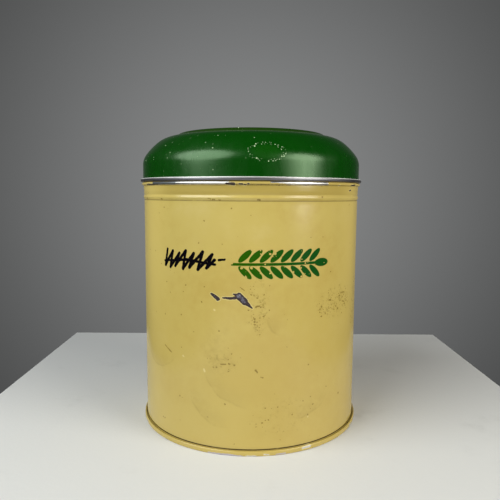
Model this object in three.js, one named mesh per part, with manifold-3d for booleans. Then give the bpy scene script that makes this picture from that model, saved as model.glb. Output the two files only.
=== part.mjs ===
// A round slip-lid kitchen canister pressed from tinplate: a rolled wall with two beads, a base
// double-seamed to it, and a domed lid that sits over the neck and lifts straight off.
// Millimetres, +Z up, origin at the centre of the plane that the tin stands on.
// Each piece is one sheet, drawn as the middle line of its section and given its thickness.

import * as THREE from "three";
import { mergeVertices } from "three/addons/utils/BufferGeometryUtils.js";
import Module from "manifold-3d";

// Driving dimensions.
const WALL_RADIUS = 80; // outside of the plain wall
const HEIGHT = 212.1; // base plane to the top of the closed lid
const SHEET = 0.3; // tinplate thickness
const GAP = 0.3; // room between layers that lie on each other
const SEGMENTS = 48; // round the axis

const PITCH = SHEET + GAP; // from the middle of one layer to the middle of the next
const WALL = WALL_RADIUS - SHEET / 2; // middle of the wall's sheet

// The double seam at the foot has five layers: the base's chuck wall, the wall, the base's hook,
// the wall's hook, and the base's outer wall.
const CHUCK_WALL = WALL - PITCH;
const BASE_HOOK = WALL + PITCH;
const WALL_HOOK = WALL + 2 * PITCH;
const SEAM_WALL = WALL + 3 * PITCH;
const SEAM_HEIGHT = 3.3;
const SEAM_CORNER = 0.5; // radius of the channel's two lower corners
const PANEL_Z = 3.75; // middle of the base's recessed panel
const PANEL_CORNER = 1.5;
const PANEL_RING = { inner: 63, outer: 70, rise: 0.9, slope: 1.6 }; // stiffening ring

// Beads of the wall, by their outer surface.
const TRIM_BEAD = { bottom: 164.5, top: 167.9, proud: 0.5 };
const STOP_BEAD = { bottom: 174.4, top: 176.5, radius: 81.7 };

// Band between the beads: a little wider than the wall, and opening towards the stop bead.
const BAND = { offset: 0.2, bottom: 168.4, flare: 171, flareRise: 0.15 };

// Neck that the lid covers, with its raw edge hemmed inwards.
const NECK_TOP = 189;
const HEM_DEPTH = 2;

// Lock seam down the back of the wall, folded to the inside.
const SEAM = { azimuth: 195, width: 5, inside: 1.1, foot: 5.6, top: 186.4 };

// Lid, by its outer surface: a straight skirt, then tangent arcs that turn from straight up to
// level, and a flat disc with a sloping edge that stands on the crown.
const SKIRT = { radius: 80.66, top: 189.2 };
const CURL = { bottom: 176.9, top: 179.3, radius: 82.5, sweep: 285 };
const LID_BENDS = [
  { radius: 12.2, sweep: 36, steps: 3 },
  { radius: 47.2, sweep: 15, steps: 2 },
  { radius: 20, sweep: 39, steps: 4 },
];
const LID_DISC = { top: 54.2, foot: 57, corner: 1.5, fillet: 0.6 };

const radians = THREE.MathUtils.degToRad;
const point = (r, z) => new THREE.Vector2(r, z);

// Points on an ellipse's arc round (r, z), both ends included.
function arc(r, z, radiusR, radiusZ, from, to, steps) {
  return Array.from({ length: steps + 1 }, (_, i) => {
    const a = radians(from + ((to - from) * i) / steps);
    return point(r + radiusR * Math.cos(a), z + radiusZ * Math.sin(a));
  });
}

// Tangent arcs, one after another, that start straight up at (r, z) and turn towards the axis.
function tangentArcs(r, z, bends) {
  const line = [point(r, z)];
  let turned = 0;
  for (const { radius, sweep, steps } of bends) {
    const start = line.at(-1);
    const centreR = start.x - radius * Math.cos(radians(turned));
    const centreZ = start.y - radius * Math.sin(radians(turned));
    line.push(...arc(centreR, centreZ, radius, radius, turned, turned + sweep, steps).slice(1));
    turned += sweep;
  }
  return line;
}

// The middle line moved to its right by an amount, with mitred corners.
function offset(line, amount) {
  return line.map((here, i) => {
    const before = here.clone().sub(line[Math.max(i - 1, 0)]);
    const after = line[Math.min(i + 1, line.length - 1)].clone().sub(here);
    const into = (before.lengthSq() ? before : after).clone().normalize();
    const out = (after.lengthSq() ? after : before).clone().normalize();
    const along = into.clone().add(out).normalize();
    const reach = amount / along.dot(into);
    return point(Math.max(here.x + along.y * reach, 0), here.y - along.x * reach);
  });
}

// A sheet of even thickness along its middle line, turned round the Z axis. The section runs
// along the line's right side and back along its left, which turns every face outwards.
function pressedSheet(line) {
  const section = [...offset(line, SHEET / 2), ...offset(line, -SHEET / 2).reverse()];
  const reachesAxis = section.some((p) => p.x === 0);
  if (!reachesAxis) section.push(section[0].clone());
  return new THREE.LatheGeometry(section, SEGMENTS).rotateX(Math.PI / 2);
}

// Wall: from the tip of its hook in the foot seam, up the outside, to the tip of the hem.
function wallLine() {
  const hookZ = SHEET / 2 + 2 * PITCH; // centre of the hook's bend, over the base's sheet
  const band = WALL + BAND.offset;
  const trimHalf = (TRIM_BEAD.top - TRIM_BEAD.bottom) / 2;
  const trimZ = TRIM_BEAD.bottom + trimHalf;
  const stopHalf = (STOP_BEAD.top - STOP_BEAD.bottom - SHEET) / 2;
  const stopZ = STOP_BEAD.bottom + SHEET / 2 + stopHalf;
  const stopCentre = STOP_BEAD.radius - SHEET / 2 - stopHalf;
  const hemRadius = PITCH / 2;
  const hemZ = NECK_TOP - SHEET / 2 - hemRadius;
  return [
    point(WALL_HOOK, SEAM_HEIGHT - 2 * SHEET - GAP),
    ...arc(BASE_HOOK, hookZ, PITCH, PITCH, 0, -180, 4),
    ...arc(WALL, trimZ, TRIM_BEAD.proud, trimHalf, -90, 90, 4),
    point(band, BAND.bottom),
    point(band, BAND.flare),
    point(band + BAND.flareRise, (BAND.flare + STOP_BEAD.bottom) / 2),
    point(stopCentre - stopHalf / 2, STOP_BEAD.bottom - SHEET / 2),
    ...arc(stopCentre, stopZ, stopHalf, stopHalf, -60, 90, 3),
    point(WALL, STOP_BEAD.top - SHEET / 2),
    ...arc(WALL - hemRadius, hemZ, hemRadius, hemRadius, 0, 180, 3),
    point(WALL - PITCH, hemZ - HEM_DEPTH),
  ];
}

// Base: from the axis out over the recessed panel, down the chuck wall, along the resting
// ring, up the seam and over into its hook.
function baseLine() {
  const { inner, outer, rise, slope } = PANEL_RING;
  const bendZ = SEAM_HEIGHT - SHEET / 2 - PITCH; // centre of the fold over the wall's hook
  const restZ = SHEET / 2;
  const cornerZ = restZ + SEAM_CORNER;
  return [
    point(0, PANEL_Z),
    point(inner, PANEL_Z),
    point(inner + slope, PANEL_Z + rise),
    point(outer - slope, PANEL_Z + rise),
    point(outer, PANEL_Z),
    ...arc(CHUCK_WALL - PANEL_CORNER, PANEL_Z - PANEL_CORNER, PANEL_CORNER, PANEL_CORNER, 90, 0, 3),
    ...arc(CHUCK_WALL + SEAM_CORNER, cornerZ, SEAM_CORNER, SEAM_CORNER, 180, 270, 2),
    ...arc(SEAM_WALL - SEAM_CORNER, cornerZ, SEAM_CORNER, SEAM_CORNER, -90, 0, 2),
    ...arc(WALL_HOOK, bendZ, PITCH, PITCH, 0, 180, 4),
    point(BASE_HOOK, bendZ - SEAM_HEIGHT / 3),
  ];
}

// Lid: from the axis out over the raised disc, down its step, over the crown and the corner,
// down the skirt and round the outward curl.
function lidLine() {
  const half = SHEET / 2;
  const skirt = SKIRT.radius - half;
  const bends = LID_BENDS.map((bend) => ({ ...bend, radius: bend.radius - half }));
  const dome = tangentArcs(skirt, SKIRT.top, bends).reverse();
  const discZ = HEIGHT - half;
  const crownZ = dome[0].y;
  const { top, corner, fillet } = LID_DISC;
  const foot = LID_DISC.foot - half;
  // Both ends of the disc's edge turn by the slope, so each arc reaches r tan(slope / 2) back.
  const slope = Math.atan2(discZ - crownZ, foot - top);
  const turn = THREE.MathUtils.radToDeg(slope);
  const reach = Math.tan(slope / 2);
  const curlR = (CURL.radius - half - skirt) / 2;
  const curlZ = (CURL.top - CURL.bottom) / 2 - half;
  return [
    point(0, discZ),
    ...arc(top - corner * reach, discZ - corner, corner, corner, 90, 90 - turn, 2),
    ...arc(foot + fillet * reach, crownZ + fillet, fillet, fillet, 270 - turn, 270, 2),
    ...dome,
    ...arc(skirt + curlR, CURL.bottom + half + curlZ, curlR, curlZ, 180, 180 + CURL.sweep, 8),
  ];
}

const solids = await Module();
solids.setup();

function toSolid(geometry) {
  const bare = geometry.clone().deleteAttribute("normal").deleteAttribute("uv");
  const merged = mergeVertices(bare, 1e-3);
  return new solids.Manifold(
    new solids.Mesh({
      numProp: 3,
      vertProperties: merged.attributes.position.array,
      triVerts: new Uint32Array(merged.index.array),
    }),
  );
}

function toGeometry(solid) {
  const mesh = solid.getMesh();
  const geometry = new THREE.BufferGeometry();
  geometry.setAttribute("position", new THREE.BufferAttribute(mesh.vertProperties, 3));
  geometry.setIndex(new THREE.BufferAttribute(mesh.triVerts, 1));
  geometry.computeVertexNormals();
  return geometry;
}

// The folded layers of the lock seam stand inside the wall as one flat strip. Azimuth is
// counted from the front (-Y) towards +X.
function lockSeam() {
  const tall = SEAM.top - SEAM.foot;
  const deep = SEAM.inside + SHEET / 2;
  return new THREE.BoxGeometry(SEAM.width, deep, tall)
    .translate(0, -(WALL - deep / 2), SEAM.foot + tall / 2)
    .rotateZ(radians(SEAM.azimuth));
}

function finish(color, roughness, metalness) {
  return new THREE.MeshStandardMaterial({ color, roughness, metalness });
}

function piece(name, geometry, material) {
  const mesh = new THREE.Mesh(geometry, material);
  mesh.name = name;
  return mesh;
}

const wall = toSolid(pressedSheet(wallLine())).add(toSolid(lockSeam()));
const creamEnamel = finish(0xc6af6e, 0.35, 0);
const greenEnamel = finish(0x0b4a0a, 0.3, 0);

const tin = new THREE.Group();
tin.add(piece("body_wall", toGeometry(wall), creamEnamel));
tin.add(piece("base_panel", pressedSheet(baseLine()), creamEnamel.clone()));

const lid = new THREE.Group();
lid.add(piece("lid_shell", pressedSheet(lidLine()), greenEnamel));

const canister = new THREE.Group();
canister.add(tin, lid);

export default canister;
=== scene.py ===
"""A round kitchen canister of enamelled tinplate: a cream body and a green slip lid, worn by use.

Metres, +Z up, with the origin at the centre of the plane that the tin stands on. Azimuth is
counted from the front (-Y) towards +X. Marks on the body are placed in millimetres: across is
the distance round the wall from the front, up is the height.
"""

import math

import bpy
import numpy as np
from mathutils import Matrix, Vector


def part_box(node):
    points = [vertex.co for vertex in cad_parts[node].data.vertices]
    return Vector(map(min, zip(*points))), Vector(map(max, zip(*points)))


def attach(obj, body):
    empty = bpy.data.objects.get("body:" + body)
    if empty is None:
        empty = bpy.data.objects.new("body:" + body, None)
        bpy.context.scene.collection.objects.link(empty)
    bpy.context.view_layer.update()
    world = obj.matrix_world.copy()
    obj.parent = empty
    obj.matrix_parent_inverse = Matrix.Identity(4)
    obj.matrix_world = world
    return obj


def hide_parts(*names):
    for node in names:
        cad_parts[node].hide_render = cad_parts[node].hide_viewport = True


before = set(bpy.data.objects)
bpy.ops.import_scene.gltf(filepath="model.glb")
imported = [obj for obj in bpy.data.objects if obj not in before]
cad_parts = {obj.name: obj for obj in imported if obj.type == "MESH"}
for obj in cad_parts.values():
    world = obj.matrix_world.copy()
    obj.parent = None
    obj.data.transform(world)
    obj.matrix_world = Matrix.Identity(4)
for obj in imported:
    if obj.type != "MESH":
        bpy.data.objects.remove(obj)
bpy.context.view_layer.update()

MM = 0.001

# ---- Sizes of the sheets ----------------------------------------------------------------------

wall_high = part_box("body_wall")[1]
base_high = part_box("base_panel")[1]
lid_low, lid_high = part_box("lid_shell")

SHEET = 0.3 * MM  # tinplate
HALF = SHEET / 2
GAP = 0.3 * MM  # between layers that lie on each other
PITCH = SHEET + GAP
ROW = 3.5 * MM  # longest straight stretch in a section

SEAM_WALL = base_high.x - HALF  # middle of the foot seam's outer layer
WALL = SEAM_WALL - 3 * PITCH  # middle of the wall's sheet
SEAM_HEIGHT = 3.3 * MM
SEAM_CORNER = 0.5 * MM
PANEL_Z = 3.75 * MM
PANEL_CORNER = 1.5 * MM
RING_INNER, RING_OUTER, RING_RISE, RING_SLOPE = 63 * MM, 70 * MM, 0.9 * MM, 1.6 * MM

TRIM_BOTTOM, TRIM_TOP, TRIM_PROUD = 164.5 * MM, 167.9 * MM, 0.5 * MM
BAND_OFFSET, BAND_BOTTOM, FLARE_BOTTOM, FLARE = 0.2 * MM, 168.4 * MM, 171 * MM, 0.15 * MM
STOP_BOTTOM, STOP_TOP = 174.4 * MM, 176.5 * MM
HEM_DEPTH = 2 * MM

LOCK_AZIMUTH = math.radians(195 - 360)
LOCK_WIDTH, LOCK_DEPTH, LOCK_EDGE = 5 * MM, 0.95 * MM, 0.3 * MM
LOCK_FOOT, LOCK_TOP = 6 * MM, 186 * MM

SKIRT = WALL + 0.66 * MM  # middle of the lid's skirt
SKIRT_TOP = 189.2 * MM
CURL_TOP = 179.3 * MM
CURL_SWEEP, CURL_FLATNESS = 285, 0.55
LID_BENDS = ((12.2 * MM, 36), (47.2 * MM, 15), (20 * MM, 39))
DISC_TOP, DISC_FOOT, DISC_CORNER, DISC_FILLET = 54.2 * MM, 57 * MM, 1.5 * MM, 0.6 * MM

ROUND = 336  # columns round the axis

# How the wall and the dome stand out of true: depth in millimetres, number of waves round the
# axis, phase, and radians of twist in a millimetre of height.
WALL_WAVES = ((0.11, 2, 0.6, 0), (0.05, 5, -1.1, 1 / 45), (0.03, 11, 2.0, 1 / 70), (0.02, 23, 0, 0))
DOME_WAVES = ((0.04, 0, 0, 0), (0.03, 3, 0.4, 0), (0.01, 13, 0, 0))
WAVES_START, WAVES_FULL, WAVES_FADE, WAVES_END = 8 * MM, 60 * MM, 120 * MM, 160 * MM  # up the wall
DOME_RISE = 8 * MM  # height in which the dome's waves reach their full depth
HAIRLINE = 0.06 * MM  # depth of the lines that the lock seam leaves on the outside
SHARP = math.radians(50)  # turn past which an edge is shaded sharp


# ---- Sections -----------------------------------------------------------------------------------

def arc(centre, radii, start, stop, count=9):
    """Points centre + (a cos t, b sin t), with t even from start to stop in degrees."""
    turn = np.radians(np.linspace(start, stop, count))
    return np.array(centre) + np.array(radii) * np.stack([np.cos(turn), np.sin(turn)], 1)


def flattened(centre, radii, start, stop, count=9):
    """An arc squared off: centre + (a c |c|^(p - 1), b s |s|^(p - 1)), with p the flatness."""
    turn = np.radians(np.linspace(start, stop, count))
    round_one = np.stack([np.cos(turn), np.sin(turn)], 1)
    return np.array(centre) + np.array(radii) * round_one * np.abs(round_one) ** (CURL_FLATNESS - 1)


def bump(z_low, z_high, radius, proud, count=13):
    """A pressed bead: the radius swells by proud (1 + cos t) / 2, with t from -pi to pi."""
    t = np.linspace(-np.pi, np.pi, count)
    z = (z_low + z_high) / 2 + (z_high - z_low) / 2 * t / np.pi
    return np.stack([radius + proud * (1 + np.cos(t)) / 2, z], 1)


def tangent_arcs(start, bends, count=9):
    """Arcs, one after another, that leave start straight up and turn towards the axis.

    Each arc's centre lies its radius behind the point where the last one ended.
    """
    parts, here, turned = [], np.array(start), 0
    for radius, sweep in bends:
        way = math.radians(turned)
        centre = here - radius * np.array([math.cos(way), math.sin(way)])
        parts.append(arc(centre, (radius, radius), turned, turned + sweep, count))
        here, turned = parts[-1][-1], turned + sweep
    return np.vstack(parts)


def line_through(*parts):
    """One line through all the parts, without repeated points.

    A stretch of length L longer than a row is divided into ceil(L / row) equal steps.
    """
    points = np.vstack([np.atleast_2d(part) for part in parts])
    fresh = np.linalg.norm(np.diff(points, axis=0), axis=1) > 1e-7
    points = points[np.concatenate([[True], fresh])]
    span = np.diff(points, axis=0)
    steps = np.ceil(np.linalg.norm(span, axis=1) / ROW).astype(int)
    which = np.repeat(np.arange(len(span)), steps)
    share = (np.arange(len(which)) - np.repeat(np.cumsum(steps) - steps, steps)) / steps[which]
    return np.vstack([points[which] + span[which] * share[:, None], points[-1:]])


def offset(line, amount):
    """The line moved to its right, each point along the bisector of its two stretches.

    The move is the amount over the cosine of half the turn, which keeps the sheet even.
    """
    ahead = np.diff(line, axis=0)
    ahead /= np.linalg.norm(ahead, axis=1, keepdims=True)
    into, out = np.vstack([ahead[:1], ahead]), np.vstack([ahead, ahead[-1:]])
    along = into + out
    along /= np.linalg.norm(along, axis=1, keepdims=True)
    reach = amount / (along * into).sum(axis=1, keepdims=True)
    return line + np.stack([along[:, 1], -along[:, 0]], 1) * reach


def wall_line():
    """From the tip of the hook in the foot seam, up the outside and over the neck's hem."""
    hook_z = HALF + 2 * PITCH
    band = WALL + BAND_OFFSET
    stop_half = (STOP_TOP - STOP_BOTTOM - SHEET) / 2
    stop_z = STOP_BOTTOM + HALF + stop_half
    stop_r = wall_high.x - HALF - stop_half
    hem = PITCH / 2
    hem_z = wall_high.z - HALF - hem
    return line_through(
        (WALL + 2 * PITCH, SEAM_HEIGHT - 2 * SHEET - GAP),
        arc((WALL + PITCH, hook_z), (PITCH, PITCH), 0, -180, 7),
        bump(TRIM_BOTTOM, TRIM_TOP, WALL, TRIM_PROUD),
        (band, BAND_BOTTOM),
        (band, FLARE_BOTTOM),
        (band + FLARE, (FLARE_BOTTOM + STOP_BOTTOM) / 2),
        (stop_r - stop_half / 2, STOP_BOTTOM - HALF),
        arc((stop_r, stop_z), (stop_half, stop_half), -60, 90),
        (WALL, STOP_TOP - HALF),
        arc((WALL - hem, hem_z), (hem, hem), 0, 180, 7),
        (WALL - PITCH, hem_z - HEM_DEPTH),
    )


def base_line():
    """From the axis out over the recessed panel, under the resting ring and into the seam."""
    chuck = WALL - PITCH
    fold_z = SEAM_HEIGHT - HALF - PITCH
    ring_z = PANEL_Z + RING_RISE
    corner = (SEAM_CORNER, SEAM_CORNER)
    return line_through(
        (0, PANEL_Z),
        (RING_INNER, PANEL_Z),
        (RING_INNER + RING_SLOPE, ring_z),
        (RING_OUTER - RING_SLOPE, ring_z),
        (RING_OUTER, PANEL_Z),
        arc((chuck - PANEL_CORNER, PANEL_Z - PANEL_CORNER), (PANEL_CORNER,) * 2, 90, 0, 6),
        arc((chuck + SEAM_CORNER, HALF + SEAM_CORNER), corner, 180, 270, 5),
        arc((SEAM_WALL - SEAM_CORNER, HALF + SEAM_CORNER), corner, -90, 0, 5),
        arc((WALL + 2 * PITCH, fold_z), (PITCH, PITCH), 0, 180),
        (WALL + PITCH, fold_z - SEAM_HEIGHT / 3),
    )


def lid_line():
    """From the axis out over the raised disc and the dome, down the skirt, round the curl.

    Both ends of the disc's sloping edge turn by the slope, and an arc of radius r that makes
    such a turn starts r tan(slope / 2) before the corner.
    """
    bends = [(radius - HALF, sweep) for radius, sweep in LID_BENDS]
    dome = tangent_arcs((SKIRT, SKIRT_TOP), bends)[::-1]
    disc_z = lid_high.z - HALF
    crown_z, foot = dome[0, 1], DISC_FOOT - HALF
    slope = math.atan2(disc_z - crown_z, foot - DISC_TOP)
    turn, reach = math.degrees(slope), math.tan(slope / 2)
    corner = (DISC_TOP - DISC_CORNER * reach, disc_z - DISC_CORNER)
    fillet = (foot + DISC_FILLET * reach, crown_z + DISC_FILLET)
    curl_r = (lid_high.x - HALF - SKIRT) / 2
    curl_z = (CURL_TOP - lid_low.z) / 2 - HALF
    curl_mid = (CURL_TOP + lid_low.z) / 2
    return line_through(
        (0, disc_z),
        arc(corner, (DISC_CORNER,) * 2, 90, 90 - turn, 5),
        arc(fillet, (DISC_FILLET,) * 2, 270 - turn, 270, 5),
        dome,
        flattened((SKIRT + curl_r, curl_mid), (curl_r, curl_z), 180, 180 + CURL_SWEEP, 25),
    )


# ---- Sheets turned round the axis ------------------------------------------------------------

def columns():
    """Even azimuths round the axis, with close ones in place of the few at the lock seam."""
    even = np.linspace(-np.pi, np.pi, ROUND, endpoint=False)
    edges = LOCK_WIDTH / 2 + np.array([-1, -0.5, 0, 1, 3]) * LOCK_EDGE
    close = LOCK_AZIMUTH + np.concatenate([-edges, [0], edges]) / WALL
    clear = np.abs(even - LOCK_AZIMUTH) > (LOCK_WIDTH / 2 + 5 * LOCK_EDGE) / WALL
    return np.sort(np.concatenate([even[clear], close]))


def smooth(value, low, high):
    """0 below low, 1 above high, and 3 t^2 - 2 t^3 between them."""
    t = np.clip((value - low) / (high - low), 0, 1)
    return t * t * (3 - 2 * t)


def waved(azimuth, z, waves):
    """The sum over the waves of depth cos(count azimuth + phase + twist z)."""
    parts = [depth * np.cos(count * azimuth + phase + twist * z / MM)
             for depth, count, phase, twist in waves]
    return MM * sum(parts)


def wall_push(azimuth, z, left):
    """How far the wall's surface stands out of true: handling waves, and the lock seam.

    The waves die away at the foot and at the beads. The lock seam thickens the sheet's left
    side, inside the tin, and leaves a hairline at each of its borders outside.
    """
    free = smooth(z, WAVES_START, WAVES_FULL) * (1 - smooth(z, WAVES_FADE, WAVES_END))
    away = np.abs(azimuth - LOCK_AZIMUTH) * WALL
    flat = 1 - smooth(away, LOCK_WIDTH / 2 - LOCK_EDGE, LOCK_WIDTH / 2)
    inside = smooth(z, LOCK_FOOT - MM, LOCK_FOOT) * (1 - smooth(z, LOCK_TOP - MM, LOCK_TOP))
    hairline = 1 - smooth(np.abs(away - LOCK_WIDTH / 2), 0, LOCK_EDGE)
    tall = smooth(z, LOCK_FOOT - MM, LOCK_FOOT) * (1 - smooth(z, STOP_BOTTOM, STOP_TOP))
    lock = np.where(left, -LOCK_DEPTH * flat * inside, -HAIRLINE * hairline * tall)
    return waved(azimuth, z, WALL_WAVES) * free + lock


def lid_push(azimuth, z, left):
    """How far the lid's dome stands inside its true surface."""
    return -waved(azimuth, z, DOME_WAVES) * smooth(z, SKIRT_TOP, SKIRT_TOP + DOME_RISE)


def no_push(azimuth, z, left):
    """A sheet that runs true."""
    return 0 * azimuth * z


def quads_of(grid):
    """The four corners of each cell of a grid, in order round the cell."""
    return np.stack([grid[:-1, :-1], grid[:-1, 1:], grid[1:, 1:], grid[1:, :-1]], 2)


def turned_sheet(name, line, push, right_finish, left_finish, edge_finish):
    """A sheet of even thickness along its middle line, turned round the axis.

    The section runs along the line's right side and back along its left. Its point (r, z) at
    azimuth a lies at (p sin a, -p cos a, z), with p = r + push. Where the line starts on the
    axis, both ends of the section close on a pole, with triangles. Elsewhere the section's last
    point joins its first. The UV map holds (WALL a, z).
    """
    section = np.vstack([offset(line, HALF), offset(line, -HALF)[::-1]])
    left = np.arange(len(section)) >= len(line)
    azimuth = columns()
    radius = section[:, :1] + push(azimuth[None, :], section[:, 1:], left[:, None])
    height = np.broadcast_to(section[:, 1:], radius.shape)
    points = np.stack([radius * np.sin(azimuth), -radius * np.cos(azimuth), height], 2)
    rows, count = radius.shape
    whole, after_first, before_last = [0, 1, 2, 3], [0, 2, 3], [0, 1, 2]
    if line[0, 0] == 0:
        first_pole, last_pole = (0, 0, section[0, 1]), (0, 0, section[-1, 1])
        verts = np.vstack([points[1:-1].reshape(-1, 3), first_pole, last_pole])
        between = np.arange((rows - 2) * count).reshape(rows - 2, count)
        poles = np.full((2, count), [[len(verts) - 2], [len(verts) - 1]])
        index = np.vstack([poles[:1], between, poles[1:]])
        level = section[:, 1]
        stretches_of_rows = (
            (slice(1, -1), whole), (slice(0, 1), after_first), (slice(-1, None), before_last),
        )
    else:
        verts = points.reshape(-1, 3)
        index = np.arange(rows * count).reshape(rows, count)
        index = np.vstack([index, index[:1]])
        level = np.append(section[:, 1], section[0, 1])
        stretches_of_rows = ((slice(None), whole),)
    turn = np.append(azimuth, azimuth[0] + 2 * np.pi)
    quads = quads_of(np.hstack([index, index[:, :1]]))
    spread = quads_of(np.stack(np.meshgrid(WALL * turn, level), 2))
    along = len(line) - 1
    side = np.repeat([0, 1, 2, 1], [along, 1, along, 1])[: len(quads)]  # right, edge, left, edge

    faces, spots, finish = [], [], []
    for stretch, corners in stretches_of_rows:
        faces += quads[stretch][:, :, corners].reshape(-1, len(corners)).tolist()
        spots.append(spread[stretch][:, :, corners].ravel())
        finish.append(np.repeat(side[stretch], count))
    finish = np.concatenate(finish)

    mesh = bpy.data.meshes.new(name)
    mesh.from_pydata(verts.tolist(), [], faces)
    mesh.uv_layers.new(name="spread").data.foreach_set("uv", np.concatenate(spots))
    for material in (right_finish, edge_finish, left_finish):
        mesh.materials.append(material)
    mesh.polygons.foreach_set("material_index", finish)
    mesh.polygons.foreach_set("use_smooth", np.ones(len(finish), bool))
    mesh.update()
    mesh.set_sharp_from_angle(angle=SHARP)
    piece = bpy.data.objects.new(name, mesh)
    bpy.context.scene.collection.objects.link(piece)
    return piece


# ---- Shader maths -------------------------------------------------------------------------------

class Value:
    """A number that varies over a surface. An operator on it adds its Math node."""

    def __init__(self, nodes, socket):
        self.nodes, self.socket = nodes, socket

    def __add__(self, other):
        return self.nodes.maths("ADD", self, other)

    def __sub__(self, other):
        return self.nodes.maths("SUBTRACT", self, other)

    def __rsub__(self, other):
        return self.nodes.maths("SUBTRACT", other, self)

    def __mul__(self, other):
        return self.nodes.maths("MULTIPLY", self, other)

    def __mod__(self, other):
        return self.nodes.maths("FLOORED_MODULO", self, other)

    def __or__(self, other):
        return self.nodes.maths("MAXIMUM", self, other)

    def __and__(self, other):
        return self.nodes.maths("MINIMUM", self, other)

    def __abs__(self):
        return self.nodes.maths("ABSOLUTE", self)

    __radd__, __rmul__, __ror__, __rand__ = __add__, __mul__, __or__, __and__


class Nodes:
    """A node tree and the maths that is written into it."""

    def __init__(self, tree):
        self.tree = tree

    def node(self, kind, settings, sockets):
        """Adds a node: its settings first, then the values or links of its sockets."""
        made = self.tree.nodes.new(kind)
        for key, value in settings.items():
            setattr(made, key, value)
        for key, value in sockets.items():
            value = value.socket if isinstance(value, Value) else value
            named = [s for s in made.inputs if s.enabled and s.name == key]
            target = made.inputs[key] if isinstance(key, int) else named[0]
            if isinstance(value, bpy.types.NodeSocket):
                self.tree.links.new(value, target)
            elif isinstance(value, tuple) and target.type == "RGBA":
                target.default_value = (*value, 1)
            else:
                target.default_value = value
        return made

    def maths(self, operation, *values):
        made = self.node("ShaderNodeMath", {"operation": operation}, dict(enumerate(values)))
        return Value(self, made.outputs[0])

    def vector(self, operation, *places, **others):
        sockets = {**dict(enumerate(places)), **others}
        made = self.node("ShaderNodeVectorMath", {"operation": operation}, sockets)
        return made.outputs["Vector"]

    def measure(self, operation, *places):
        """A number from vectors, such as their DISTANCE or their DOT_PRODUCT."""
        sockets = dict(enumerate(places))
        made = self.node("ShaderNodeVectorMath", {"operation": operation}, sockets)
        return Value(self, made.outputs["Value"])

    def parts(self, vector):
        made = self.node("ShaderNodeSeparateXYZ", {}, {0: vector})
        return [Value(self, socket) for socket in made.outputs]

    def rise(self, value, low, high, to=1.0):
        """0 below low, to above high, smooth between them; it falls if high is below low."""
        sockets = {"Value": value, "From Min": low, "From Max": high, "To Max": to}
        made = self.node("ShaderNodeMapRange", {"interpolation_type": "SMOOTHSTEP"}, sockets)
        return Value(self, made.outputs[0])

    def band(self, value, low, high, soft):
        """1 between low and high, with soft borders."""
        return self.rise(value, low - soft, low + soft) * self.rise(value, high + soft, high - soft)


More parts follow.
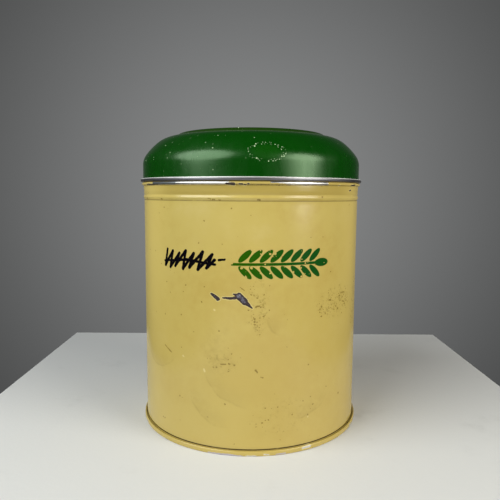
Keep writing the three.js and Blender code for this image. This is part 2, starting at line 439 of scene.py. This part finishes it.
class Paint(Nodes):
    """A material, with patterns in millimetres.

    at is the place on the object, and spread is (across, up, 0) from the sheet's UV map.
    """

    def __init__(self, name):
        self.material = bpy.data.materials.new(name)
        self.material.use_nodes = True
        super().__init__(self.material.node_tree)
        self.shader = self.tree.nodes["Principled BSDF"]
        place = self.node("ShaderNodeTexCoord", {}, {}).outputs["Object"]
        flat = self.node("ShaderNodeUVMap", {"uv_map": "spread"}, {}).outputs["UV"]
        self.at = self.vector("SCALE", place, Scale=1 / MM)
        self.spread = self.vector("SCALE", flat, Scale=1 / MM)
        self.across, self.up, _ = self.parts(self.spread)

    def from_axis(self):
        """Distance from the tin's axis."""
        return self.measure("LENGTH", self.vector("MULTIPLY", self.at, (1, 1, 0)))

    def drawn_out(self, share):
        """The place with only a share of its height, which draws a pattern out upright."""
        return self.vector("MULTIPLY", self.at, (1, 1, share))

    def moved(self, place, seed):
        """The place shifted far away, so that two patterns of one kind don't coincide."""
        return self.vector("ADD", place, (seed * 131, seed * 57, seed * 91))

    def noise(self, place, size, detail=2, rough=0.5, seed=0):
        """Cloudy noise around 0, about from -0.5 to 0.5, with lumps of that size."""
        sockets = {"Vector": self.moved(place, seed), "Scale": 1 / size}
        sockets |= {"Detail": detail, "Roughness": rough}
        return Value(self, self.node("ShaderNodeTexNoise", {}, sockets).outputs[0]) - 0.5

    def warped(self, place, size, amount, detail=2):
        """The place pushed about by noise, which makes outlines ragged."""
        sockets = {"Vector": place, "Scale": 1 / size, "Detail": detail}
        cloud = self.node("ShaderNodeTexNoise", {}, sockets).outputs["Color"]
        shift = self.vector("SCALE", self.vector("SUBTRACT", cloud, (0.5,) * 3), Scale=2 * amount)
        return self.vector("ADD", place, shift)

    def specks(self, place, size, radius, share, dimensions="3D", seed=0):
        """Specks of up to that radius, at most one in a cell of that size.

        Only a share of the cells, taken by chance, holds a speck.
        """
        settings = {"voronoi_dimensions": dimensions}
        sockets = {"Vector": self.moved(place, seed), "Scale": 1 / size}
        cell = self.node("ShaderNodeTexVoronoi", settings, sockets)
        chance, weight, _ = self.parts(cell.outputs["Color"])
        edge = (weight * weight * 0.85 + 0.15) * radius
        inside = self.rise(Value(self, cell.outputs["Distance"]) * size - edge, 0.15, -0.15)
        return inside * self.maths("LESS_THAN", chance, share)

    def outside(self, place, marks):
        """Distance outside the nearest of some tapered strokes, and negative inside one.

        A stroke is (start, end, start radius, end radius). The nearest point on it is start +
        t (end - start), where t is the place's share of the way along, held from 0 to 1.
        """
        nearest = 1000.0
        for start, end, start_radius, end_radius in marks:
            way = Vector((*end, 0)) - Vector((*start, 0))
            from_start = self.vector("SUBTRACT", place, (*start, 0))
            share = self.measure("DOT_PRODUCT", from_start, tuple(way / way.length_squared))
            share = Value(self, self.node("ShaderNodeClamp", {}, {0: share}).outputs[0])
            along = self.vector("SCALE", tuple(way), Scale=share)
            radius = share * (end_radius - start_radius) + start_radius
            nearest = (self.measure("DISTANCE", from_start, along) - radius) & nearest
        return nearest

    def near(self, place, centre, radii, soft=0.4):
        """1 in the middle of an ellipse, falling to 0 at its edge from 1 - soft outwards."""
        shifted = self.vector("SUBTRACT", place, (*centre, 0))
        scaled = self.vector("MULTIPLY", shifted, (1 / radii[0], 1 / radii[1], 0))
        return self.rise(self.measure("LENGTH", scaled), 1, 1 - soft)

    def patches(self, place, ellipses):
        """The strongest of some soft ellipses, each (centre, radii, strength)."""
        total = 0.0
        for centre, radii, strength in ellipses:
            total = self.near(place, centre, radii) * strength | total
        return total

    def stretches(self, across, places, soft):
        """1 inside any of the stretches round the wall."""
        total = 0.0
        for start, end in places:
            total = self.band(across, start, end, soft) | total
        return total

    def mix(self, under, over, mask):
        """The colour over where the mask is 1, and under where it is 0."""
        settings = {"data_type": "RGBA"}
        made = self.node("ShaderNodeMix", settings, {"Factor": mask, "A": under, "B": over})
        return next(s for s in made.outputs if s.enabled)

    def blend(self, under, over, mask):
        """The number over where the mask is 1, and under where it is 0."""
        made = self.node("ShaderNodeMix", {}, {"Factor": mask, "A": under, "B": over})
        return Value(self, next(s for s in made.outputs if s.enabled))

    def finish(self, colour, roughness, metallic, height, **constants):
        """Feeds the shader. height is in millimetres and goes through a Bump node."""
        sockets = {"Height": height, "Strength": 1.0, "Distance": MM}
        normal = self.node("ShaderNodeBump", {}, sockets).outputs[0]
        varying = {"Base Color": colour, "Roughness": roughness, "Metallic": metallic}
        for key, value in (varying | {"Normal": normal}).items():
            if isinstance(value, (Value, bpy.types.NodeSocket)):
                self.tree.links.new(getattr(value, "socket", value), self.shader.inputs[key])
            else:
                self.shader.inputs[key].default_value = value
        for key, value in constants.items():
            self.shader.inputs[key.replace("_", " ")].default_value = value
        return self.material


# ---- Colours ------------------------------------------------------------------------------------

CREAM = (0.53, 0.415, 0.118)
CREAM_DEEP = (0.47, 0.345, 0.085)
CREAM_PALE = (0.62, 0.51, 0.21)
CREAM_SHADED = (0.42, 0.315, 0.078)
CREAM_PAINTED_LIGHT = (0.65, 0.505, 0.15)
GRIME = (0.14, 0.095, 0.004)
RUST = (0.14, 0.082, 0.003)
SCORCHED = (0.04, 0.024, 0.023)
STEEL = (0.085, 0.075, 0.105)
STEEL_PALE = (0.27, 0.27, 0.33)
SLATE = (0.30, 0.32, 0.33)
LILAC = (0.42, 0.38, 0.41)
TIN = (0.66, 0.65, 0.62)
TIN_RUBBED_AND_HIGHLIT = (0.9, 0.9, 0.88)
OLD_TIN = (0.27, 0.25, 0.23)
DARK_TIN = (0.22, 0.215, 0.23)
GROOVE = (0.035, 0.022, 0.004)
INK_YELLOWER, INK_BLUER = (0.018, 0.09, 0.0005), (0.006, 0.07, 0.007)
INK_BLACK = (0.002, 0.0015, 0.003)
GREEN = (0.0003, 0.044, 0.0001)
GREEN_PALE = (0.006, 0.075, 0.002)
GREEN_WORN_AND_HIGHLIT = (0.05, 0.125, 0.022)
GREEN_PAINTED_SHADE = (0.010, 0.038, 0.002)
PRIMER = (0.46, 0.62, 0.36)


# ---- Print and marker ----------------------------------------------------------------------------

# The printed ear of grain lies on its side. Its places are in millimetres from its middle.
EAR_ACROSS, EAR_UP, EAR_HALF = 21.5, 124.9, 33.7
EAR_FIRST, EAR_PAIRS, EAR_STEP, EAR_LEAN = -32.5, 8, 6.7, 0.8
GRAIN_MIDDLE, GRAIN_HALF_WIDTH, GRAIN_HALF_HEIGHT = 5.2, 2.75, 4.1
STEM_HALF = 0.9
TIP_MIDDLE, TIP_HALF_LENGTH, TIP_HALF_WIDTH = 27.6, 6.0, 2.8

# The marker's scrawl runs to and fro, and a strike and a dash go with it.
SCRAWL = (
    (-60.5, 132.0), (-62.8, 121.4), (-55.2, 131.4), (-57.8, 120.4), (-49.2, 130.2),
    (-53.0, 121.6), (-43.8, 132.2), (-46.2, 120.2), (-37.6, 130.8), (-41.0, 121.4),
    (-31.0, 132.0), (-34.6, 120.6), (-24.4, 130.6), (-28.4, 121.8), (-22.9, 127.2),
)
SCRAWL_RADIUS = 1.05
STRIKE_AND_DASH = (
    ((-63.6, 124.2), (-43.0, 126.4), 0.7, 1.0),
    ((-43.0, 126.4), (-22.6, 124.4), 1.0, 0.8),
    ((-19.9, 127.3), (-16.2, 127.8), 0.85, 0.7),
)


def ear_of_grain(paint, place):
    """A stem with mirrored pairs of leaning grains, and one grain at the tip.

    The grains repeat along the stem: (x - lean |y|) modulo the step gives each its own x, so
    each is an ellipse that leans towards the tip.
    """
    across, up, _ = paint.parts(place)
    x, off = across - EAR_ACROSS, abs(up - EAR_UP)
    slanted = x - off * EAR_LEAN - EAR_FIRST
    wide = (slanted % EAR_STEP - EAR_STEP / 2) * (1 / GRAIN_HALF_WIDTH)
    tall = (off - GRAIN_MIDDLE) * (1 / GRAIN_HALF_HEIGHT)
    grains = paint.rise(paint.maths("SQRT", wide * wide + tall * tall), 1.05, 0.95)
    grains = grains * paint.band(slanted, 0, EAR_PAIRS * EAR_STEP, 0.1)
    stem_end = EAR_FIRST + EAR_PAIRS * EAR_STEP + 2
    stem = paint.rise(off, STEM_HALF + 0.12, STEM_HALF - 0.12)
    stem = stem * paint.band(x, -EAR_HALF, stem_end, 0.2)
    middle = (EAR_ACROSS + TIP_MIDDLE, EAR_UP)
    tip = paint.near(place, middle, (TIP_HALF_LENGTH, TIP_HALF_WIDTH), 0.07)
    return grains | stem | tip


def marker_scrawl(paint, place):
    """A thick zigzag drawn by hand, struck through, with a dash after it."""
    pen = (SCRAWL_RADIUS, SCRAWL_RADIUS)
    strokes = [(start, end, *pen) for start, end in zip(SCRAWL, SCRAWL[1:])]
    return paint.rise(paint.outside(place, (*strokes, *STRIKE_AND_DASH)), 0.15, -0.15)


# ---- Marks of use on the body, in millimetres (across, up) -------------------------------------

SCRATCH = (
    ((-24.9, 105.5), (-20.6, 102.5), 0.9, 1.35),
    ((-17.8, 103.4), (-13.5, 103.3), 0.3, 0.95),
    ((-13.5, 103.2), (-9.5, 103.6), 0.9, 0.9),
    ((-10.8, 106.2), (-8.0, 105.0), 0.4, 1.4),
    ((-7.0, 104.7), (-3.6, 101.3), 2.3, 2.2),
    ((-3.6, 101.2), (1.3, 97.2), 1.9, 0.3),
)
HAIR_SCRATCHES = (
    ((-64.4, 66.0), (-57.7, 62.5), 0.3, 0.35),
    ((-18.6, 60.2), (-15.5, 60.4), 0.35, 0.4),
    ((-13.5, 60.9), (-13.0, 60.7), 0.5, 0.5),
    ((3.6, 57.0), (4.6, 55.6), 0.6, 0.5),
    ((7.0, 52.4), (8.4, 52.0), 0.3, 0.3),
    ((3.6, 98.0), (5.6, 98.6), 0.5, 0.5),
    ((70.2, 31.2), (70.2, 30.8), 0.5, 0.5),
    ((-6.3, 110.4), (-3.9, 108.6), 0.2, 0.3),
)
PALE_SPOTS = (
    ((-23.2, 95.4), (-22.8, 95.1), 0.5, 0.5),
    ((40.0, 22.0), (40.3, 22.0), 0.5, 0.4),
    ((-46.8, 62.0), (-46.0, 61.6), 0.6, 0.4),
    ((-30.5, 55.6), (-29.9, 54.2), 0.6, 0.5),
)
SEAM_CHIPS = (
    ((-2.0, 0.5), (4.0, 0.5), 0.25, 0.3),
    ((9.5, 1.3), (12.2, 1.0), 0.45, 0.3),
    ((35.4, 2.1), (41.0, 2.3), 0.6, 0.75),
    ((88.0, 1.5), (90.5, 1.2), 0.5, 0.6),
    ((-150, 1.0), (-139, 1.3), 0.6, 0.8),
    ((190, 1.2), (204, 0.9), 0.8, 0.5),
)
SEAM_DULL = (
    ((-27.0, 0.7), (-12.0, 0.6), 0.35, 0.75),
    ((-12.0, 0.6), (-4.0, 0.5), 0.6, 0.2),
    ((17.0, 0.8), (23.0, 0.9), 0.3, 0.45),
    ((100, 1.0), (108, 1.3), 0.5, 0.7),
    ((-96, 1.2), (-92, 1.0), 0.4, 0.5),
)
STOP_CHIPS = (
    ((-85.5, 174.9), (-69.0, 174.6), 0.5, 0.3),
    ((-14.9, 175.0), (-10.6, 174.7), 0.6, 1.0),
    ((-7.2, 174.9), (-5.3, 174.7), 0.4, 0.5),
    ((-3.8, 174.2), (-3.4, 174.2), 0.5, 0.4),
    ((-1.9, 175.0), (-1.2, 175.0), 0.4, 0.4),
    ((63.5, 174.5), (64.0, 174.4), 0.4, 0.3),
    ((79.5, 174.8), (86.0, 175.0), 0.4, 0.6),
    ((79.0, 171.0), (81.5, 171.6), 0.4, 0.5),
)
TRIM_CHIPS = (
    ((-27.0, 165.7), (-25.8, 165.4), 0.3, 0.4),
    ((-24.4, 165.0), (-22.8, 165.1), 0.3, 0.4),
    ((-90.5, 165.2), (-90.0, 165.3), 0.6, 0.6),
    ((-66.6, 165.1), (-66.0, 165.1), 0.4, 0.4),
    ((4.2, 165.0), (5.4, 165.1), 0.4, 0.6),
    ((48.2, 166.8), (48.7, 166.9), 0.4, 0.4),
    ((-20.0, 164.9), (-19.0, 164.9), 0.3, 0.3),
)

# Stretches of the stop bead, round the wall. The bright wear tapers off at the front.
BRIGHT_WEAR = ((-52, -13.5), (12, 52.3), (118, 151), (-172, -131))
SLATE_WEAR = ((-76, -51),)
SPECKLED = ((-13, 53), (80, 88), (-90, -76))
TAPER, TAPER_DEPTH = (8, 20), 1.1

# Heights on the wall.
CREST = (174.5, 176.45)  # the face of the stop bead
BURNT_EDGE = (174.0, 174.5)  # the stop bead's lower edge
SHADED_BAND = (168.2, 174.8)
FOOT_GROOVE, WALL_FACE = (3.3, 4.15), (79.3, 79.6)  # WALL_FACE keeps it off the base's panel
TRIM_GROOVE = (164.0, 164.65)
STOP_GROOVE_LOW, STOP_GROOVE_HIGH = (173.2, 174.5), (174.9, 174.6)
NECK_SCUFFS = (177, 180)
DEEPENING = (190, 20)  # the cream deepens from the first height down to the second

# Painted light: paler enamel at the upper left and the upper right, which brightens the sides of the
# body.
PAINTED_LIGHT_LEFT, PAINTED_LIGHT_RIGHT, PAINTED_LIGHT_UP = (-52, -86), (62, 88), (40, 150)

# Patches, with centre and radii (across, up), and strengths.
WORN_MIDDLE = (6, 56), (42, 30)
SMEARS = (-20, 68), (14, 22)
SPECK_CROWDS = (
    ((4, 98), (9, 22), 1.0),
    ((66, 97), (25, 13), 0.9),
    ((-18, 62), (12, 10), 0.6),
    ((22, 25), (26, 16), 0.3),
    ((100, 80), (14, 40), 0.8),
)
RUST_CROWDS = (
    ((68, 97), (14, 7), 1.0),
    ((52, 92), (8, 5), 0.7),
    ((3, 87), (4.5, 5), 0.6),
)

# Stained arcs: centre and radius of the circle, middle and reach of the part that shows.
TIDE_ARCS = (
    ((-15, 43), 25.5, (-30, 26), 22),
    ((-72, 73), 22.5, (-74, 52), 26),
    ((22, 91), 11, (13, 84), 9),
    ((2, 66), 34, (-20, 38), 24),
    ((34, 50), 27, (44, 26), 20),
)


def tide_marks(paint, place):
    """Thin stained arcs of circles, each only near the middle of the part that shows."""
    total = 0.0
    for centre, radius, middle, reach in TIDE_ARCS:
        away = paint.measure("DISTANCE", place, (*centre, 0)) - radius
        inside = paint.rise(away, 0.6, -0.4)
        line = paint.rise(abs(away), 1.3, 0.1) * 0.7 | paint.rise(away, -16, 0, 0.35) * inside
        total = line * paint.near(place, middle, (reach, reach), 0.8) | total
    return total


class CreamPaint(Paint):
    """The cream enamel's paint, with the noise and the ragged places that its marks share."""

    def __init__(self, name):
        super().__init__(name)
        self.clouds = self.noise(self.at, 55, 3, 0.55)
        self.mottle = self.noise(self.at, 6, 4, 0.6, seed=1)
        self.fine = self.noise(self.at, 0.9, 2, 0.6, seed=2)
        self.ragged = self.warped(self.spread, 1.6, 0.5, 4)
        self.spotted = self.warped(self.spread, 0.8, 0.7, 3)
        self.wandering = self.warped(self.spread, 18, 3, 3)


def aged_ground(paint):
    """The cream itself, with deep and pale clouds, painted light on the upper sides, smears and tide
    marks.
    """
    clouds, mottle, across, up = paint.clouds, paint.mottle, paint.across, paint.up
    colour = paint.mix(CREAM, CREAM_DEEP, paint.rise(clouds + mottle * 0.4, -0.1, 0.3))
    colour = paint.mix(colour, CREAM_PALE, paint.rise(clouds * -1 + mottle * 0.3, 0.02, 0.3, 0.4))
    colour = paint.mix(colour, CREAM_DEEP, paint.rise(up + clouds * 40, *DEEPENING, 0.6))
    colour = paint.mix(colour, CREAM_SHADED, paint.band(up, *SHADED_BAND, 0.3) * 0.95)
    # Painted light: the upper left and upper right of the wall are made paler.
    sides = paint.rise(across, *PAINTED_LIGHT_LEFT) | paint.rise(across, *PAINTED_LIGHT_RIGHT) * 0.8
    painted_light = sides * paint.rise(up + clouds * 30, *PAINTED_LIGHT_UP)
    colour = paint.mix(colour, CREAM_PAINTED_LIGHT, painted_light * 0.8)
    colour = paint.mix(colour, CREAM_DEEP, paint.near(paint.wandering, *WORN_MIDDLE, 0.5) * 0.5)
    smears = paint.near(paint.wandering, *SMEARS, 0.6) * paint.rise(mottle, -0.1, 0.25)
    stained = tide_marks(paint, paint.wandering) * paint.rise(mottle, -0.3, 0.1)
    colour = paint.mix(colour, GRIME, stained * 0.27 | smears * 0.16)
    pale_spots = paint.rise(paint.outside(paint.ragged, PALE_SPOTS), 0.3, -0.3)
    return paint.mix(colour, CREAM_PALE, pale_spots)


def printed(paint, colour):
    """The ear of grain, flaked and rubbed, and the marker. Gives the colour and both masks."""
    flakes = paint.specks(paint.ragged, 3.0, 0.95, 0.2, "2D", seed=3)
    rubbed = paint.rise(paint.fine * 0.6 + paint.mottle, 0.27, 0.2)
    ear = ear_of_grain(paint, paint.warped(paint.spread, 0.8, 0.1)) * (1 - flakes) * rubbed
    ink = paint.mix(INK_YELLOWER, INK_BLUER, paint.rise(paint.across, -8, 40))
    marker = marker_scrawl(paint, paint.warped(paint.spread, 2.5, 0.35))
    return paint.mix(paint.mix(colour, ink, ear), INK_BLACK, marker), ear, marker


def soiled(paint, colour):
    """Grime in the grooves, and specks, hair scratches and haze of rust, crowded in patches."""
    up, ragged, spotted = paint.up, paint.ragged, paint.spotted
    foot_groove = paint.band(up, *FOOT_GROOVE, 0.12) * paint.rise(paint.from_axis(), *WALL_FACE)
    trim_groove = paint.band(up, *TRIM_GROOVE, 0.2)
    stop_groove = paint.rise(up, *STOP_GROOVE_LOW) * paint.rise(up, *STOP_GROOVE_HIGH)
    grime = foot_groove | trim_groove * 0.6 | stop_groove * 0.08
    grime = grime * paint.rise(paint.mottle + paint.clouds, -0.6, -0.1)
    colour = paint.mix(colour, GROOVE, grime * 0.95)

    crowd = paint.patches(ragged, SPECK_CROWDS)
    rusty = paint.patches(ragged, RUST_CROWDS)
    specks = paint.specks(spotted, 2.0, 0.62, crowd * 0.4 + 0.014, "2D", seed=4)
    specks = specks | paint.specks(spotted, 1.7, 0.85, rusty * 0.65, "2D", seed=11)
    haze = crowd * paint.rise(paint.noise(paint.at, 2.6, 4, 0.7, seed=9), 0.0, 0.22)
    colour = paint.mix(colour, GRIME, haze * 0.5 | haze * rusty * 0.8)
    hairs = paint.rise(paint.outside(spotted, HAIR_SCRATCHES + TRIM_CHIPS), 0.25, -0.15)
    return paint.mix(colour, RUST, specks * 0.7 | hairs * 0.75)


def bared(paint, colour):
    """Bare metal on the beads, the neck and the foot seam, in the scratch and in the chips.

    Gives the colour and three masks: bright metal, slate metal, and the steel of the scratch.
    """
    mottle, ragged = paint.mottle, paint.ragged
    scratch = paint.outside(ragged, SCRATCH)
    chips = paint.outside(ragged, STOP_CHIPS)
    seam_chips = paint.outside(ragged, SEAM_CHIPS)
    rim = paint.band(scratch & chips & seam_chips, -0.1, 0.45, 0.15)
    colour = paint.mix(colour, CREAM_PALE, rim * 0.8)

    uneven = paint.noise(paint.at, 4, 3, 0.6, seed=5)
    across, up = paint.across + uneven * 2.5, paint.up + uneven * 1.2
    burnt_edge = paint.band(up, *BURNT_EDGE, 0.1) * paint.rise(mottle + paint.fine, 0.0, 0.1)
    burnt_edge = burnt_edge * paint.stretches(paint.across, SPECKLED, 2)
    colour = paint.mix(colour, SCORCHED, burnt_edge * 0.75)
    crest = paint.band(up, *CREST, 0.12)
    taper = paint.band(paint.across, *TAPER, 8) * TAPER_DEPTH
    tapered = crest & paint.band(up - taper, *CREST, 0.12)
    bright = paint.stretches(across, BRIGHT_WEAR, 0.5) * tapered
    slate = paint.stretches(across, SLATE_WEAR, 0.5) * crest
    drawn = paint.noise(paint.drawn_out(0.04), 1.6, 3, 0.6, seed=6)
    scuffs = paint.rise(drawn + mottle * 0.4, 0.12, 0.2) * paint.rise(paint.up, *NECK_SCUFFS)
    bright = bright | paint.rise(seam_chips, 0.15, -0.15) | scuffs
    colour = paint.mix(paint.mix(colour, TIN, bright), SLATE, slate)

    depth = scratch & chips
    steel = paint.rise(depth, 0.1, -0.1)
    streaks = paint.noise(paint.drawn_out(0.7), 1.8, 3, 0.7, seed=10)
    bare = paint.mix(STEEL, STEEL_PALE, paint.rise(streaks, 0.0, 0.15))
    burnt = paint.rise(depth - streaks * 2.5, -2.0, -0.8)
    colour = paint.mix(colour, paint.mix(bare, SCORCHED, burnt * 0.9), steel)
    dull = paint.rise(paint.outside(ragged, SEAM_DULL), 0.15, -0.15)
    return paint.mix(colour, LILAC, dull), bright, slate, steel


def cream_enamel():
    """Aged cream enamel with print, marker, grime, specks, tide marks, chips and worn beads."""
    paint = CreamPaint("cream_enamel")
    colour, ear, marker = printed(paint, aged_ground(paint))
    colour, bright, slate, steel = bared(paint, soiled(paint, colour))
    metal = bright | slate | steel
    roughness = paint.blend(paint.mottle * 0.1 + 0.22, 0.33, metal)
    roughness = paint.blend(roughness, 0.13, marker | ear * 0.8)
    metallic = bright | slate * 0.8 | steel * 0.3
    height = paint.fine * 0.004 + paint.mottle * 0.015 - metal * 0.06 + (ear | marker) * 0.008
    return paint.finish(colour, roughness, metallic, height)


# ---- Finishes of the lid and of bare sheet ------------------------------------------------------

RING_CENTRE, RING_RADII = (9.6, 194.5), (10.9, 5.5)  # an oval of pin-prick chips, (across, up)
PRICKED_LEFT, PRICKED_FOOT = (-75, -15), (188, 181)  # more pin-pricks: stretch round, heights
EDGE_INNER, EDGE_OUTER, CROWN_OUTER, CROWN_END = 53.6, 56.8, 61.5, 64.5  # painted shade on the disc's edge, worn crown with a painted highlight
GREEN_GLOSS, GREEN_GLOSS_LEVEL = (0.68, 1, 0.62, 1), 0.62


def green_enamel():
    """Glossy green enamel, hazed by handling, with pin-prick chips, painted shade on the disc's edge
    and a worn, painted highlight round the crown.
    """
    paint = Paint("green_enamel")
    across, up, at = paint.across, paint.up, paint.at
    clouds = paint.noise(at, 30, 4, 0.6)
    fine = paint.noise(at, 1.2, 2, 0.6, seed=2)
    wiped = paint.noise(paint.drawn_out(0.3), 7, 3, 0.6, seed=3)
    colour = paint.mix(GREEN, GREEN_PALE, paint.rise(clouds, 0.0, 0.45, 0.3))
    from_axis = paint.from_axis()
    # Painted highlight, partly wear: a paler ring round the crown beside the disc's edge.
    crown = paint.rise(from_axis + clouds * 3, CROWN_END, CROWN_OUTER)
    crown = crown * paint.rise(from_axis, EDGE_INNER, EDGE_OUTER)
    colour = paint.mix(colour, GREEN_WORN_AND_HIGHLIT, crown * paint.rise(wiped + fine * 0.3, -0.3, 0.15, 0.8))
    # Painted shade: the disc's sloping edge is darkened.
    edge = paint.band(from_axis + fine * 0.4, EDGE_INNER, EDGE_OUTER, 0.25)
    colour = paint.mix(colour, GREEN_PAINTED_SHADE, edge * 0.9)

    shifted = paint.vector("SUBTRACT", paint.spread, (*RING_CENTRE, 0))
    scaled = paint.vector("MULTIPLY", shifted, (1 / RING_RADII[0], 1 / RING_RADII[1], 0))
    ring = paint.rise(abs(paint.measure("LENGTH", scaled) - 1 + fine * 0.1), 0.16, 0.1)
    colour = paint.mix(colour, GREEN_PALE, paint.near(paint.spread, RING_CENTRE, RING_RADII) * 0.35)
    left = paint.band(across, *PRICKED_LEFT, 15)
    share = paint.rise(up, *PRICKED_FOOT) * left * 0.3 + left * 0.35 + 0.06
    pricks = paint.specks(at, 2.6, 0.45, share, seed=6)
    rounded = paint.warped(paint.spread, 0.8, 0.3)
    pricks = pricks | paint.specks(rounded, 1.5, 0.5, 0.95, "2D", seed=7) * ring
    colour = paint.mix(colour, PRIMER, pricks)

    roughness = paint.blend(clouds * 0.12 + wiped * 0.2 + 0.275, 0.6, pricks)
    height = fine * 0.003 + paint.noise(at, 6, 2, 0.5, seed=8) * 0.02 - pricks * 0.05
    tint = {"Specular_Tint": GREEN_GLOSS, "Specular_IOR_Level": GREEN_GLOSS_LEVEL}
    return paint.finish(colour, roughness, 0.0, height, **tint)


CURL_INNER, CURL_BRIGHT = 80.9, 178.72  # the curl lies outside this radius, rubbed and painted with a highlight above this z


def bare_tin(name, dull, curled):
    """Tinplate from bright to tarnished in clouds, with drawn lines and small rust spots.

    dull is from 0 to 1 and adds tarnish, rust and roughness. A curled sheet is darker on its
    curl, which is rubbed bright on top and painted with a highlight there.
    """
    paint = Paint(name)
    at, up = paint.at, paint.up
    clouds = paint.noise(at, 22, 5, 0.65)
    drawn = paint.noise(paint.drawn_out(8), 14, 4, 0.6)
    tarnished = paint.rise(clouds + drawn * 0.4, 0.1 - dull * 0.3, 0.45 - dull * 0.2)
    colour = paint.mix(TIN, OLD_TIN, tarnished)
    curl = rubbed = 0.0
    if curled:
        curl = paint.rise(paint.from_axis(), CURL_INNER, CURL_INNER + 0.3)
        # Painted highlight, partly wear: the top of the curl is made bright and less metallic.
        rubbed = curl * paint.rise(up + clouds * 0.3, CURL_BRIGHT, CURL_BRIGHT + 0.2)
        colour = paint.mix(colour, DARK_TIN, curl)
        colour = paint.mix(colour, TIN_RUBBED_AND_HIGHLIT, rubbed)
    spots = paint.specks(paint.warped(at, 1.2, 0.5), 4, 0.9, 0.04 + dull * 0.12)
    colour = paint.mix(colour, RUST, spots * 0.6)
    roughness = clouds * 0.16 + drawn * 0.1 + 0.27 + dull * 0.14 + curl * 0.16
    height = drawn * 0.02 + clouds * 0.04
    return paint.finish(colour, roughness, 1 - (spots * 0.7 | rubbed * 0.5), height)


cream = cream_enamel()
green = green_enamel()
rolled_tin = bare_tin("rolled_tin", 0.15, True)
inner_tin = bare_tin("inner_tin", 0.8, False)

PIECES = (
    ("enamelled_wall", "body_wall", "tin", "cream_enamel", wall_line(), wall_push, cream, inner_tin),
    ("seamed_base", "base_panel", "tin", "cream_enamel", base_line(), no_push, cream, inner_tin),
    ("domed_lid", "lid_shell", "lid", "green_enamel", lid_line(), lid_push, rolled_tin, green),
)
for name, node, body, slot, line, push, right_finish, left_finish in PIECES:
    piece = turned_sheet(name, line, push, right_finish, left_finish, rolled_tin)
    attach(piece, body)
    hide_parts(node)


# ---- Stage, light and camera -------------------------------------------------------------------

SLAB_LEFT, SLAB_RIGHT, SLAB_FRONT, SLAB_BACK, SLAB_DEPTH = -0.21, 0.222, -0.6, 0.216, 0.03
SLAB_PALE, SLAB_STAINED = (0.67, 0.675, 0.665), (0.53, 0.535, 0.525)

# Each softbox: azimuth, elevation, distance, width, height, power and colour.
SOFTBOXES = {
    "left_softbox": (-52, 34, 0.95, 0.92, 0.92, 10.9, (0.97, 1, 1)),
    "right_softbox": (53, 22, 0.95, 0.6, 0.7, 7.9, (1, 0.98, 0.92)),
}
ROOM_DIM, ROOM_GLOW, ROOM_FALLOFF, ROOM_COLOUR = 0.022, 0.22, 8, (0.98, 1, 1, 1)

CAMERA_PLACE = (-0.0004, -0.4011, 0.1687)
CAMERA_DOWN, CAMERA_ROLL, CAMERA_LENS = 6.161, 0.336, 37.44  # degrees, degrees, millimetres


def slab():
    """A pale slab that the tin stands on: a box with its upper face at z = 0."""
    corners = [SLAB_LEFT, SLAB_RIGHT], [SLAB_FRONT, SLAB_BACK], [-SLAB_DEPTH, 0]
    verts = np.stack(np.meshgrid(*corners, indexing="ij"), 3).reshape(-1, 3)
    faces = [(0, 1, 3, 2), (4, 6, 7, 5), (0, 4, 5, 1), (2, 3, 7, 6), (0, 2, 6, 4), (1, 5, 7, 3)]
    mesh = bpy.data.meshes.new("slab")
    mesh.from_pydata(verts.tolist(), [], faces)
    floor = bpy.data.objects.new("slab", mesh)
    bpy.context.scene.collection.objects.link(floor)
    paint = Paint("slab_paint")
    stains = paint.noise(paint.at, 60, 6, 0.7)
    colour = paint.mix(SLAB_PALE, SLAB_STAINED, paint.rise(stains, 0.05, 0.4))
    mesh.materials.append(paint.finish(colour, 0.6, 0.0, paint.noise(paint.at, 3, 4) * 0.1))


def softbox(name, azimuth, elevation, distance, width, height, power, colour):
    """A soft oval lamp that faces the tin from an azimuth and an elevation in degrees."""
    lamp = bpy.data.lights.new(name, "AREA")
    lamp.shape, lamp.size, lamp.size_y = "ELLIPSE", width, height
    lamp.energy, lamp.color = power, colour
    holder = bpy.data.objects.new(name, lamp)
    bpy.context.scene.collection.objects.link(holder)
    a, e = math.radians(azimuth), math.radians(elevation)
    towards = Vector((math.sin(a) * math.cos(e), -math.cos(a) * math.cos(e), math.sin(e)))
    holder.location = Vector((0, 0, lid_high.z / 2)) + towards * distance
    holder.rotation_euler = towards.to_track_quat("Z", "Y").to_euler()


def studio():
    """A grey room: dim + glow y^falloff in the direction (x, y, z), and softboxes in front."""
    world = bpy.data.worlds.new("studio")
    bpy.context.scene.world = world
    world.use_nodes = True
    nodes = Nodes(world.node_tree)
    way = nodes.node("ShaderNodeTexCoord", {}, {}).outputs["Generated"]
    behind = nodes.parts(way)[1] | 0.0
    strength = nodes.maths("POWER", behind, ROOM_FALLOFF) * ROOM_GLOW + ROOM_DIM
    background = world.node_tree.nodes["Background"]
    background.inputs["Color"].default_value = ROOM_COLOUR
    world.node_tree.links.new(strength.socket, background.inputs["Strength"])
    for name, settings in SOFTBOXES.items():
        softbox(name, *settings)


def camera():
    """A camera 0.4 m before the tin's axis, near the height of the beads, tipped a little down."""
    lens = bpy.data.cameras.new("camera")
    lens.lens = CAMERA_LENS
    holder = bpy.data.objects.new("camera", lens)
    bpy.context.scene.collection.objects.link(holder)
    pitch = Matrix.Rotation(math.radians(90 - CAMERA_DOWN), 4, "X")
    roll = Matrix.Rotation(math.radians(CAMERA_ROLL), 4, "Z")
    holder.matrix_world = Matrix.Translation(CAMERA_PLACE) @ pitch @ roll
    bpy.context.scene.camera = holder


slab()
studio()
camera()
bpy.context.scene.view_settings.view_transform = "Standard"
